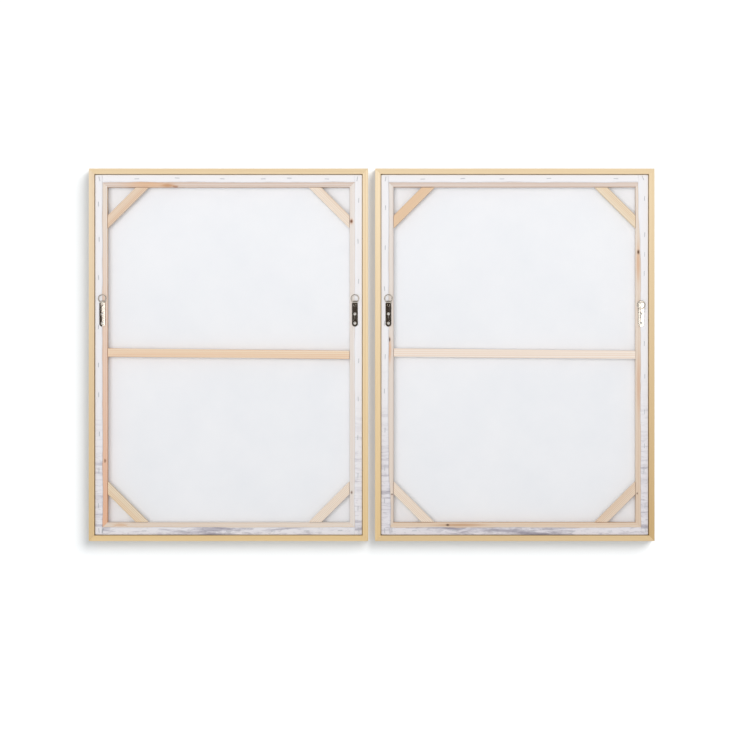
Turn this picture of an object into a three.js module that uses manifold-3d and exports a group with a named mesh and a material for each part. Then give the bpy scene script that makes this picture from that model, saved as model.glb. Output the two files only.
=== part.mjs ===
// A pair of framed stretched canvases, hung side by side with their backs to a wall. Millimetres.
// +Z is up, the wall is on the -Y side and the pictures face +Y.
// Left and right are as seen from the wall side.
// The origin lies midway between the panels, on the wall plane, at the height where wall hooks
// carry the rings.
import * as THREE from 'three';
import { mergeVertices } from 'three/addons/utils/BufferGeometryUtils.js';
import Module from 'manifold-3d';

const wasm = await Module();
wasm.setup();

// Panels
const panelWidth = 600;
const panelHeight = 800;
const panelGap = 15;

// Fits
const fit = 0.3; // between pieces that touch
const mitreCut = fit / Math.SQRT2; // takes each mitred end back, so that a joint is open by the fit
const cutPast = 1; // how far a cut runs out past the face that it opens

// Outer frame: an L-section moulding whose lip covers the edge of the picture
const frameWall = 12;
const lipThickness = 4;
const lipCover = 4;
const canvasGap = 2; // between the moulding's wall and the canvas

// Corner nails of the outer frame: V-shaped, driven into the back across each mitre
const nailInset = 4;
const nailLeg = 5;
const nailGauge = 0.6;
const nailLength = 8;
const nailSunk = 0.4;

// Canvas
const canvasThickness = 0.7;
const foldWidth = 15;

// Stretcher bars, with a bead along the front that keeps the cloth off the wood
const barWidth = 25;
const barThickness = 18;
const beadWidth = 5;
const beadHeight = 3;
const tongueThickness = 6;
const tongueInset = 4;

// Crossbar, which is fitted a little off level
const crossbarHeight = 18;
const crossbarThickness = 14;
const crossbarRise = 2.5; // of its middle above the panel's middle
const crossbarDrop = 5; // of its right end below its left end
const tenonHeight = 11;
const tenonThickness = 6;
const tenonLength = 10;

// Corner braces
const braceNear = 60; // from the opening's corner to the near edge, along a bar
const braceFar = 88;
const braceThickness = 12;

// Pins that hold the stretched canvas in the frame, driven outwards through the side bars
const pinRadius = 0.7;
const pinBite = 8; // into the moulding
const pinSpread = 250; // above and below the panel's middle

// Hangers
const hangerDrop = 286; // from the panel's top to the ring's hinge
const hangerInset = 28.5; // from the panel's side to the strap's middle
const hangerRoom = 0.6; // between the hangers and the wall
const strapWidth = 12.5;
const strapThickness = 1;
const strapLength = 53.5; // from the hinge to the rounded end
const shoulderDrop = 3.4; // below the hinge the strap widens from the curl to its full width
const curlWidth = 9;
const curlTurn = 290; // degrees that the strap's curl turns round the ring
const screwDrops = { upper: 26, lower: 46 };
const screwRadius = 1.5;
const screwLength = 14;
const screwHeadRadius = 3.2;
const screwHeadHeight = 1.8;
const wireRadius = 1.1;
const ringSpread = 2.5; // between the curl's side and the inside of the ring at its widest
const ringPlay = 0.7; // between the curl's side and the ring's corner
const ringRise = 7; // of the round part's middle above the hinge
const ringCornerAngle = 35; // degrees below level where the round part turns into the bar

// Facets
const pinSides = 12;
const screwSides = 14;
const holeSides = 16;
const curlSegments = 18;
const wireSides = 10;
const ringSteps = 44;
const ringArcPoints = 16;

// Places that follow from the sizes above
const canvasWidth = panelWidth - 2 * (frameWall + canvasGap);
const canvasHeight = panelHeight - 2 * (frameWall + canvasGap);
const skin = canvasThickness + fit;
const stretcherWidth = canvasWidth - 2 * skin;
const stretcherHeight = canvasHeight - 2 * skin;
const openingWidth = stretcherWidth - 2 * barWidth;
const openingHeight = stretcherHeight - 2 * barWidth;
const curlInner = wireRadius + fit;
const curlOuter = curlInner + strapThickness;
const ringRadius = curlWidth / 2 + ringSpread + wireRadius; // of the wire's middle
const ringBar = curlWidth / 2 + ringPlay; // half the straight bar inside the curl
const hingeY = hangerRoom + curlOuter;
const canvasBack = hingeY + curlOuter + fit;
const barBack = canvasBack + skin;
const barFront = barBack + barThickness;
const barMiddle = (barBack + barFront) / 2;
const canvasFront = barFront + skin;
const frameDepth = canvasFront + fit + lipThickness;
const hookHeight = ringRise + ringRadius - wireRadius; // of the ring's inner top above the hinge
const panelTop = hangerDrop - hookHeight;
const hingeZ = panelHeight / 2 - hangerDrop; // in a panel's own frame, whose middle is its origin

const material = (color, roughness, metalness = 0) =>
  new THREE.MeshStandardMaterial({ color, roughness, metalness });
const finishes = {
  frame: material(0xe6cd9c, 0.55),
  pine: material(0xe8ccae, 0.7),
  brace: material(0xebcfa8, 0.7),
  canvas: material(0xededf0, 0.9),
  nickel: material(0xb9b4ab, 0.2, 1),
  steel: material(0x9a9a9c, 0.35, 1),
};

// ---- solids ----

const xAxis = new THREE.Vector3(1, 0, 0);
const yAxis = new THREE.Vector3(0, 1, 0);
const zAxis = new THREE.Vector3(0, 0, 1);

// A closed geometry as a solid to cut with, and a solid as a geometry again.
function solid(geometry) {
  const bare = geometry.clone();
  bare.deleteAttribute('normal');
  bare.deleteAttribute('uv');
  const merged = mergeVertices(bare, 1e-4);
  return new wasm.Manifold(new wasm.Mesh({
    numProp: 3,
    vertProperties: new Float32Array(merged.attributes.position.array),
    triVerts: new Uint32Array(merged.index.array),
  }));
}

function geometryOf(body) {
  const { vertProperties, triVerts, numProp } = body.getMesh();
  const data = new THREE.InterleavedBuffer(vertProperties, numProp);
  const geometry = new THREE.BufferGeometry();
  geometry.setAttribute('position', new THREE.InterleavedBufferAttribute(data, 3, 0));
  geometry.setIndex(new THREE.BufferAttribute(triVerts, 1));
  const faceted = geometry.toNonIndexed();
  faceted.computeVertexNormals();
  return faceted;
}

function piece(name, geometry, finish) {
  const mesh = new THREE.Mesh(geometry, finishes[finish]);
  mesh.name = name;
  return mesh;
}

const outline = (points) => new THREE.Shape(points.map(([a, b]) => new THREE.Vector2(a, b)));

// A shape drawn in (x, z), as thick as from back to front along y.
function plate(shape, back, front) {
  const geometry = new THREE.ExtrudeGeometry(shape, { depth: front - back, bevelEnabled: false });
  geometry.applyMatrix4(new THREE.Matrix4().makeBasis(xAxis, zAxis, yAxis.clone().negate()));
  return geometry.translate(0, front, 0);
}

// A shape drawn in (y, z), extruded along x from -length / 2 to length / 2.
function strip(shape, length) {
  const geometry = new THREE.ExtrudeGeometry(shape, { depth: length, bevelEnabled: false });
  geometry.translate(0, 0, -length / 2);
  return geometry.applyMatrix4(new THREE.Matrix4().makeBasis(yAxis, zAxis, xAxis));
}

// A strip whose outer edge is at z = 0, with both ends mitred.
function mitred(shape, length) {
  const geometry = strip(shape, length);
  const place = geometry.attributes.position;
  for (let i = 0; i < place.count; i++) {
    const half = length / 2 + place.getZ(i) - mitreCut;
    place.setX(i, Math.sign(place.getX(i)) * half);
  }
  return geometry;
}

const block = (low, high) => new THREE.BoxGeometry(...high.map((h, i) => h - low[i]))
  .translate(...high.map((h, i) => (h + low[i]) / 2));

// A round bar along z, from low to high.
const rodAlongZ = (radius, low, high) =>
  new THREE.CylinderGeometry(radius, radius, high - low, pinSides)
    .rotateX(Math.PI / 2).translate(0, 0, (low + high) / 2);

// A round bar along y, from low to high.
const rodAlongY = (radius, low, high) =>
  new THREE.CylinderGeometry(radius, radius, high - low, holeSides).translate(0, (low + high) / 2, 0);

// The four sides of a rectangle: a piece made for the top is turned and moved out to its own side.
function sides(width, height) {
  return [
    { name: 'top', turn: 0, length: width, reach: height / 2, upright: false },
    { name: 'right', turn: Math.PI / 2, length: height, reach: width / 2, upright: true },
    { name: 'bottom', turn: Math.PI, length: width, reach: height / 2, upright: false },
    { name: 'left', turn: -Math.PI / 2, length: height, reach: width / 2, upright: true },
  ];
}

function toSide(mesh, side) {
  mesh.rotation.y = side.turn;
  mesh.position.set(Math.sin(side.turn) * side.reach, 0, Math.cos(side.turn) * side.reach);
  return mesh;
}

// The four corners of a rectangle: a piece made for the top left corner is turned to each.
function corners(width, height) {
  return [
    { name: 'top_left', turn: 0, x: -width / 2, z: height / 2 },
    { name: 'top_right', turn: Math.PI / 2, x: width / 2, z: height / 2 },
    { name: 'bottom_right', turn: Math.PI, x: width / 2, z: -height / 2 },
    { name: 'bottom_left', turn: -Math.PI / 2, x: -width / 2, z: -height / 2 },
  ];
}

function toCorner(mesh, corner) {
  mesh.rotation.y = corner.turn;
  mesh.position.set(corner.x, 0, corner.z);
  return mesh;
}

// ---- outer frame ----

// A corner nail at a top left corner, grown by a clearance where it is used to cut its slot.
function cornerNail(clearance = 0) {
  const low = nailInset - nailGauge / 2 - clearance;
  const high = nailInset + nailGauge / 2 + clearance;
  const end = nailInset + nailLeg + clearance;
  const bent = outline([[low, -low], [end, -low], [end, -high], [high, -high], [high, -end], [low, -end]]);
  const back = clearance ? -cutPast : nailSunk;
  return plate(bent, back, nailSunk + nailLength + clearance);
}

// A pin through one side bar, in the side's own frame, whose outer edge is the panel's.
const pinInner = frameWall + canvasGap + skin + barWidth;
const canvasPin = (clearance = 0) =>
  rodAlongZ(pinRadius + clearance, -pinInner - clearance, pinBite - frameWall + clearance)
    .translate(0, barMiddle, 0);

const pinPlaces = { upper: pinSpread, lower: -pinSpread };

const railSection = outline([
  [0, 0],
  [0, -frameWall],
  [frameDepth - lipThickness, -frameWall],
  [frameDepth - lipThickness, -frameWall - canvasGap - lipCover],
  [frameDepth, -frameWall - canvasGap - lipCover],
  [frameDepth, 0],
]);

function frameRail(side) {
  const end = side.length / 2;
  const slot = cornerNail(fit);
  let body = solid(mitred(railSection, side.length))
    .subtract(solid(slot.clone().translate(-end, 0, 0)))
    .subtract(solid(slot.clone().rotateY(Math.PI / 2).translate(end, 0, 0)));
  if (side.upright) {
    for (const place of Object.values(pinPlaces)) {
      body = body.subtract(solid(canvasPin(fit).translate(place, 0, 0)));
    }
  }
  return geometryOf(body);
}

// ---- stretcher ----

const barSection = outline([
  [barBack, 0],
  [barBack, -barWidth],
  [barFront - beadHeight, -barWidth],
  [barFront, -beadWidth],
  [barFront, 0],
]);

const tenonAt = (side) => (side.name === 'left' ? 1 : -1) * crossbarDrop / 2 + crossbarRise;

function tongue(side) {
  const reach = side.length / 2 - tongueInset;
  return block(
    [-reach, barMiddle - tongueThickness / 2, tongueInset - barWidth],
    [reach, barMiddle + tongueThickness / 2, -tongueInset],
  );
}

// The slot runs across the bar's end and takes the tongue of the level bar that meets it there.
function tongueSlots(side) {
  const outer = tongueInset - fit;
  const inner = barWidth - tongueInset + fit;
  const half = tongueThickness / 2 + fit;
  return [-1, 1].map((end) => {
    const near = end * (side.length / 2 - outer);
    const far = end * (side.length / 2 - inner);
    return block(
      [Math.min(near, far), barMiddle - half, -barWidth - cutPast],
      [Math.max(near, far), barMiddle + half, -outer],
    );
  });
}

const screwHole = () => rodAlongY(screwRadius + fit, 0, canvasBack + screwLength);

function stretcherBar(side) {
  let body = solid(mitred(barSection, side.length));
  if (!side.upright) return geometryOf(body.add(solid(tongue(side))));
  for (const slot of tongueSlots(side)) body = body.subtract(solid(slot));
  // Along an upright bar, its own x runs down the panel on the right and up on the left.
  const up = side.name === 'left' ? 1 : -1;
  const middle = up * tenonAt(side);
  const halfThick = tenonThickness / 2 + fit;
  const crossMiddle = barBack + crossbarThickness / 2;
  body = body.subtract(solid(block(
    [middle - tenonHeight / 2 - fit, crossMiddle - halfThick, -barWidth - cutPast],
    [middle + tenonHeight / 2 + fit, crossMiddle + halfThick, -barWidth + tenonLength + fit],
  )));
  const outerEdge = frameWall + canvasGap + skin;
  for (const place of Object.values(pinPlaces)) {
    body = body.subtract(solid(canvasPin(fit).translate(place, 0, outerEdge)));
  }
  for (const drop of Object.values(screwDrops)) {
    body = body.subtract(solid(screwHole()
      .translate(up * (hingeZ - drop), 0, outerEdge - hangerInset)));
  }
  return geometryOf(body);
}

function crossbar() {
  const shoulder = openingWidth / 2 - 2 * fit;
  const end = openingWidth / 2 + tenonLength - fit;
  const middle = crossbarThickness / 2;
  const bar = solid(block(
    [-shoulder, 0, -crossbarHeight / 2],
    [shoulder, crossbarThickness, crossbarHeight / 2],
  ));
  const tenons = solid(block(
    [-end, middle - tenonThickness / 2, -tenonHeight / 2],
    [end, middle + tenonThickness / 2, tenonHeight / 2],
  ));
  const slope = Math.atan(crossbarDrop / (openingWidth + tenonLength));
  return geometryOf(bar.add(tenons)).rotateY(slope).translate(0, barBack, crossbarRise);
}

// A brace in a top left corner of the opening, with its ends cut to lie along the bars.
const brace = () => plate(
  outline([[fit, -braceNear], [fit, -braceFar], [braceFar, -fit], [braceNear, -fit]]),
  barBack,
  barBack + braceThickness,
);

// ---- canvas ----

// One cloth: the picture, its turned sides, and the folds on the back of the bars.
function canvas(hangerXs) {
  const halfW = canvasWidth / 2;
  const halfH = canvasHeight / 2;
  const insideW = halfW - canvasThickness;
  const insideH = halfH - canvasThickness;
  let body = solid(block([-halfW, canvasBack, -halfH], [halfW, canvasFront, halfH]))
    .subtract(solid(block(
      [-insideW, canvasBack + canvasThickness, -insideH],
      [insideW, canvasFront - canvasThickness, insideH],
    )))
    .subtract(solid(block(
      [foldWidth - halfW, canvasBack - cutPast, foldWidth - halfH],
      [halfW - foldWidth, canvasBack + canvasThickness + cutPast, halfH - foldWidth],
    )));
  for (const side of [-1, 1]) {
    for (const place of Object.values(pinPlaces)) {
      body = body.subtract(solid(canvasPin(fit).rotateY(side * Math.PI / 2)
        .translate(side * panelWidth / 2, 0, place)));
    }
  }
  for (const x of hangerXs) {
    for (const drop of Object.values(screwDrops)) {
      body = body.subtract(solid(screwHole().translate(x, 0, hingeZ - drop)));
    }
  }
  return geometryOf(body);
}

// ---- hangers, each in its own frame with the ring's hinge as x axis ----

function strap() {
  const turn = THREE.MathUtils.degToRad(curlTurn);
  const side = new THREE.Shape();
  side.moveTo(curlOuter, -strapLength);
  side.lineTo(curlOuter, 0);
  side.absarc(0, 0, curlOuter, 0, turn, false);
  side.lineTo(curlInner * Math.cos(turn), curlInner * Math.sin(turn));
  side.absarc(0, 0, curlInner, turn, 0, true);
  side.lineTo(curlInner, -strapLength);
  const geometry = new THREE.ExtrudeGeometry(side, {
    depth: strapWidth,
    bevelEnabled: false,
    curveSegments: curlSegments,
  });
  geometry.translate(0, 0, -strapWidth / 2);
  geometry.applyMatrix4(new THREE.Matrix4().makeBasis(yAxis, zAxis, xAxis));
  const half = strapWidth / 2;
  const front = new THREE.Shape();
  front.moveTo(half, half - strapLength);
  front.lineTo(half, -shoulderDrop);
  front.lineTo(curlWidth / 2, half - curlWidth / 2 - shoulderDrop);
  front.lineTo(curlWidth / 2, 2 * curlOuter);
  front.lineTo(-curlWidth / 2, 2 * curlOuter);
  front.lineTo(-curlWidth / 2, half - curlWidth / 2 - shoulderDrop);
  front.lineTo(-half, -shoulderDrop);
  front.lineTo(-half, half - strapLength);
  front.absarc(0, half - strapLength, half, Math.PI, 2 * Math.PI, false);
  let body = solid(geometry).intersect(solid(plate(front, -2 * curlOuter, 2 * curlOuter)));
  for (const drop of Object.values(screwDrops)) {
    body = body.subtract(solid(rodAlongY(screwRadius + fit, 0, 2 * curlOuter).translate(0, 0, -drop)));
  }
  return geometryOf(body);
}

// The ring stands up from its straight bar, which lies in the curl.
function ring() {
  const corner = THREE.MathUtils.degToRad(ringCornerAngle);
  const points = [];
  for (let i = 0; i <= ringArcPoints; i++) {
    const angle = -corner + (Math.PI + 2 * corner) * i / ringArcPoints;
    const x = ringRadius * Math.cos(angle);
    points.push(new THREE.Vector3(x, 0, ringRise + ringRadius * Math.sin(angle)));
  }
  for (const x of [-ringBar, 0, ringBar]) points.push(new THREE.Vector3(x, 0, 0));
  const path = new THREE.CatmullRomCurve3(points, true, 'centripetal');
  return geometryOf(solid(new THREE.TubeGeometry(path, ringSteps, wireRadius, wireSides, true)));
}

// A pan head on a plain shank, lying along y with its head towards the wall.
function screw() {
  const profile = [
    [0, -screwHeadHeight],
    [screwHeadRadius * 0.45, -screwHeadHeight],
    [screwHeadRadius * 0.85, -screwHeadHeight * 0.65],
    [screwHeadRadius, 0],
    [screwRadius, 0],
    [screwRadius, screwLength - 2 * screwRadius],
    [0, screwLength],
  ].map(([radius, y]) => new THREE.Vector2(radius, y));
  return new THREE.LatheGeometry(profile, screwSides);
}

function hanger(name, x, folded) {
  const group = new THREE.Group();
  group.position.set(x, hingeY, hingeZ);
  group.add(piece(`${name}_strap`, strap(), 'nickel'));
  const loop = piece(`${name}_ring`, ring(), 'nickel');
  if (folded) loop.rotation.x = Math.PI;
  group.add(loop);
  for (const [place, drop] of Object.entries(screwDrops)) {
    const fixing = piece(`${name}_screw_${place}`, screw(), 'steel');
    fixing.position.set(0, curlInner - fit, -drop);
    group.add(fixing);
  }
  return group;
}

// ---- a panel, with its middle as its origin in x and z ----

function panel(name, foldedHanger) {
  const group = new THREE.Group();
  for (const side of sides(panelWidth, panelHeight)) {
    group.add(toSide(piece(`${name}_frame_rail_${side.name}`, frameRail(side), 'frame'), side));
    if (!side.upright) continue;
    for (const [place, height] of Object.entries(pinPlaces)) {
      const pin = piece(`${name}_canvas_pin_${side.name}_${place}`, canvasPin(), 'steel');
      toSide(pin, side);
      pin.position.z = height;
      group.add(pin);
    }
  }
  for (const corner of corners(panelWidth, panelHeight)) {
    group.add(toCorner(piece(`${name}_frame_nail_${corner.name}`, cornerNail(), 'steel'), corner));
  }
  for (const side of sides(stretcherWidth, stretcherHeight)) {
    group.add(toSide(piece(`${name}_stretcher_${side.name}`, stretcherBar(side), 'pine'), side));
  }
  for (const corner of corners(openingWidth, openingHeight)) {
    group.add(toCorner(piece(`${name}_brace_${corner.name}`, brace(), 'brace'), corner));
  }
  group.add(piece(`${name}_crossbar`, crossbar(), 'pine'));
  const hangerX = panelWidth / 2 - hangerInset;
  group.add(piece(`${name}_canvas`, canvas([-hangerX, hangerX]), 'canvas'));
  group.add(hanger(`${name}_hanger_left`, -hangerX, foldedHanger === 'left'));
  group.add(hanger(`${name}_hanger_right`, hangerX, foldedHanger === 'right'));
  return group;
}

const group = new THREE.Group();
const panelX = (panelWidth + panelGap) / 2;
const left = panel('left', 'none');
left.position.set(-panelX, 0, panelTop - panelHeight / 2);
const right = panel('right', 'right'); // its right ring hangs folded down
right.position.set(panelX, 0, panelTop - panelHeight / 2);
group.add(left, right);

export default group;
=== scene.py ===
import math
import random

import bmesh
import bpy
from mathutils import Matrix, Vector, noise


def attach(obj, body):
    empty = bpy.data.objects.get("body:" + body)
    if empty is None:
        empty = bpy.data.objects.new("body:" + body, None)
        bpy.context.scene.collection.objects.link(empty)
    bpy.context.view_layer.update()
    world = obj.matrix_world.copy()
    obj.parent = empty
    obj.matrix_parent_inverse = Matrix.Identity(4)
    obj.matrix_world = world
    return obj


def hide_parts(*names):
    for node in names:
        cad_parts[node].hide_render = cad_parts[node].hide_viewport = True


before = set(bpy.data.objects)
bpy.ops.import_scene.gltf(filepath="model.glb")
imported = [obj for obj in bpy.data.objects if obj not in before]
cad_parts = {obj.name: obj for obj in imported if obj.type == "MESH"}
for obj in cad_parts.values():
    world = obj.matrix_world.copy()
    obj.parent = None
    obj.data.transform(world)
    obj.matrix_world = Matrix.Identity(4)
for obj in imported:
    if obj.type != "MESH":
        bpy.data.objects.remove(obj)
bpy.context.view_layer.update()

# Metres. +Z is up, the wall is on the -Y side, and left and right are as seen from there.
mm = 0.001
panelMiddles = {"left": -307.5 * mm, "right": 307.5 * mm}
panelHeightMiddle = -128 * mm
tiny = 0.001 * mm  # vertices closer than this are one
draws = random.Random(11)


def linear(hexColour):
    channels = [int(hexColour[i : i + 2], 16) / 255 for i in (1, 3, 5)]
    return (*[c / 12.92 if c <= 0.04045 else ((c + 0.055) / 1.055) ** 2.4 for c in channels], 1)


def addNode(tree, kind, settings=None, links=None):
    node = tree.nodes.new(kind)
    for key, value in (settings or {}).items():
        if isinstance(key, int) or key in node.inputs:
            node.inputs[key].default_value = value
        else:
            setattr(node, key, value)
    for socket, source in (links or {}).items():
        tree.links.new(source, node.inputs[socket])
    return node


def newMaterial(name, settings):
    material = bpy.data.materials.new(name)
    material.use_nodes = True
    tree = material.node_tree
    shader = tree.nodes["Principled BSDF"]
    for socket, value in settings.items():
        shader.inputs[socket].default_value = value
    return material, tree, shader


def cutAcross(bm, place, normal, clearOuter=False):
    everything = bm.verts[:] + bm.edges[:] + bm.faces[:]
    bmesh.ops.bisect_plane(bm, geom=everything, plane_co=place, plane_no=normal, clear_outer=clearOuter)


# A long lens, held level, on the backs of the panels.
view = {"distance": 5.0, "x": -0.0121, "z": -0.1521, "lens": 114.53}
camera = bpy.data.objects.new("camera", bpy.data.cameras.new("camera"))
bpy.context.scene.collection.objects.link(camera)
camera.data.lens = view["lens"]
camera.data.sensor_width = 36
camera.location = (view["x"], -view["distance"], view["z"])
camera.rotation_euler = (math.radians(90), 0, 0)
bpy.context.scene.camera = camera
bpy.context.scene.view_settings.view_transform = "Standard"

room = {
    "wallY": 31.5 * mm,
    "wallGlow": 0.314,
    "floorZ": -1.05,
    "floorGlow": 0.3,
    "sky": 0.55,
    "wallStrength": 4.4,  # the wide light that throws the shadow on the wall, from the upper right
    "wallPlace": (0.75, -1, 0.75),
    "wallAngle": 46,
    "frontStrength": 1.85,  # the light on the panels themselves, from the front and a little left
    "frontPlace": (-0.2, -1, -0.04),
    "frontAngle": 48,
    "artPower": 85,  # the light on the picture side
    "artPlace": (-1.8, 3.2, 1.9),
    "artTarget": (0, 0, -0.13),
    "artWide": 1.4,
    "wallSize": (9, 6),
    "floorSize": (9, 9),
    "maskGap": 0.2 * mm,
    "maskHole": (299.5 * mm, 399.5 * mm),  # half the sides, just under a panel's
}


def stagePlane(name, size, matrix, material):
    bm = bmesh.new()
    bmesh.ops.create_grid(bm, x_segments=1, y_segments=1, size=0.5)
    bmesh.ops.scale(bm, vec=(size[0], size[1], 1), verts=bm.verts)
    bmesh.ops.transform(bm, matrix=matrix, verts=bm.verts)
    mesh = bpy.data.meshes.new(name)
    bm.to_mesh(mesh)
    bm.free()
    mesh.materials.append(material)
    plane = bpy.data.objects.new(name, mesh)
    bpy.context.scene.collection.objects.link(plane)
    return plane


def aimedAt(place, target):
    direction = Vector(target) - Vector(place)
    return Matrix.Translation(place) @ direction.to_track_quat("-Z", "Y").to_matrix().to_4x4()


def standing(depth):
    middle = (0, depth, room["floorZ"] + room["wallSize"][1] / 2)
    return Matrix.Translation(middle) @ Matrix.Rotation(math.radians(90), 4, "X")


# Matt white wall paint, seen from its front only, so that it never hides the picture side.
wallPaint, tree, shader = newMaterial(
    "mattWallPaint",
    {"Base Color": linear("#c3c3c3"), "Roughness": 1.0, "Specular IOR Level": 0,
     "Emission Color": (0.87, 0.95, 1, 1), "Emission Strength": room["wallGlow"]},
)
facing = addNode(tree, "ShaderNodeNewGeometry")
through = addNode(tree, "ShaderNodeBsdfTransparent")
shown = addNode(
    tree, "ShaderNodeMixShader", {},
    {0: facing.outputs["Backfacing"], 1: shader.outputs[0], 2: through.outputs[0]},
)
tree.links.new(shown.outputs[0], tree.nodes["Material Output"].inputs["Surface"])
wall = stagePlane("wall", room["wallSize"], standing(room["wallY"]), wallPaint)
for rays in ("visible_diffuse", "visible_glossy", "visible_transmission", "visible_shadow"):
    setattr(wall, rays, False)

# The same wall as the light meets it, open behind the two panels, so that the picture side is lit too.
maskPaint = newMaterial("mattWallMask", {"Base Color": linear("#ffffff"), "Roughness": 1.0})[0]
mask = stagePlane("wallMask", room["wallSize"], standing(room["wallY"] + room["maskGap"]), maskPaint)
holeWide, holeHigh = room["maskHole"]
bm = bmesh.new()
bm.from_mesh(mask.data)
for middle in panelMiddles.values():
    for edge in (-holeWide, holeWide):
        cutAcross(bm, (middle + edge, 0, 0), (1, 0, 0))
for edge in (-holeHigh, holeHigh):
    cutAcross(bm, (0, 0, panelHeightMiddle + edge), (0, 0, 1))
behind = [
    f for f in bm.faces
    if abs(f.calc_center_median().z - panelHeightMiddle) < holeHigh
    and any(abs(f.calc_center_median().x - middle) < holeWide for middle in panelMiddles.values())
]
bmesh.ops.delete(bm, geom=behind, context="FACES")
bm.to_mesh(mask.data)
bm.free()
mask.visible_camera = False
mask.visible_glossy = False

floorPaint = newMaterial(
    "mattFloorPaint",
    {"Base Color": linear("#f4f3f1"), "Roughness": 0.9, "Emission Color": (1, 1, 1, 1),
     "Emission Strength": room["floorGlow"]},
)[0]
floor = stagePlane("floor", room["floorSize"], Matrix.Translation((0, 0, room["floorZ"])), floorPaint)
floor.visible_diffuse = False

world = bpy.data.worlds.new("studio")
bpy.context.scene.world = world
world.use_nodes = True
tree = world.node_tree
path = addNode(tree, "ShaderNodeLightPath")
strength = addNode(
    tree, "ShaderNodeMapRange", {"To Min": room["sky"], "To Max": 1.0},
    {"Value": path.outputs["Is Camera Ray"]},
)
tree.nodes["Background"].inputs["Color"].default_value = (1, 1, 1, 1)
tree.links.new(strength.outputs[0], tree.nodes["Background"].inputs["Strength"])

pictureLight = bpy.data.objects.new("pictureLight", bpy.data.lights.new("pictureLight", "AREA"))
pictureLight.data.energy = room["artPower"]
pictureLight.data.size = room["artWide"]
pictureLight.matrix_world = aimedAt(room["artPlace"], room["artTarget"])
bpy.context.scene.collection.objects.link(pictureLight)


def farLight(name, direction, strength, angle, state):
    light = bpy.data.objects.new(name, bpy.data.lights.new(name, "SUN"))
    light.data.energy = strength
    light.data.angle = math.radians(angle)
    light.matrix_world = aimedAt(direction, (0, 0, 0))
    light.visible_glossy = False
    bpy.context.scene.collection.objects.link(light)
    lit = bpy.data.collections.new(name + "Lit")  # one lights only the wall, the other all else
    lit.objects.link(wall)
    light.light_linking.receiver_collection = lit
    lit.collection_objects[0].light_linking.link_state = state


farLight("wallLight", room["wallPlace"], room["wallStrength"], room["wallAngle"], "INCLUDE")
farLight("frontLight", room["frontPlace"], room["frontStrength"], room["frontAngle"], "EXCLUDE")

# Cards that only the metal sees: a dark one round the camera and a bright one at each side.
cards = {
    "darkCard": {"glow": 0.04, "tint": (1, 0.62, 0.4, 1), "size": (3.0, 2.2), "place": (-0.3, -3.1, 0.1)},
    "leftBrightCard": {
        "glow": 3.4, "tint": (1, 0.98, 0.95, 1), "size": (0.34, 2.2), "place": (-0.73, -3.05, 0.1),
    },
    "rightBrightCard": {
        "glow": 3.0, "tint": (1, 0.98, 0.95, 1), "size": (1.1, 2.2), "place": (1.11, -3.05, 0.1),
    },
}
for name, card in cards.items():
    cardPaint = newMaterial(
        name + "Paint",
        {"Base Color": (0.01, 0.01, 0.01, 1), "Roughness": 1.0, "Emission Color": card["tint"],
         "Emission Strength": card["glow"]},
    )[0]
    plane = stagePlane(name, card["size"], aimedAt(card["place"], (0, 0, card["place"][2])), cardPaint)
    for rays in ("visible_camera", "visible_diffuse", "visible_transmission", "visible_shadow"):
        setattr(plane, rays, False)
print("stage: camera, room and lights")


# The patterns are in mm, drawn out lengthwise; the relief and the heights of the painted shade at the foot
# are in metres.
grain = {
    "turns": {"level": 0, "upright": 90, "rising": 45, "falling": -45}, "drawn": (0.022, 1, 1),
    "fibre": (0.9, 24, 24), "fibreScale": 0.045, "mottleScale": 0.05, "streak": 0.22, "pithDepth": 24,
    "roundKnots": 7.0, "reliefDepth": 0.12 * mm, "footShadeFrom": 0.2, "footShadeTo": -0.5,
}
waveScale = 0.314  # a wave texture of this scale repeats once a unit


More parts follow.
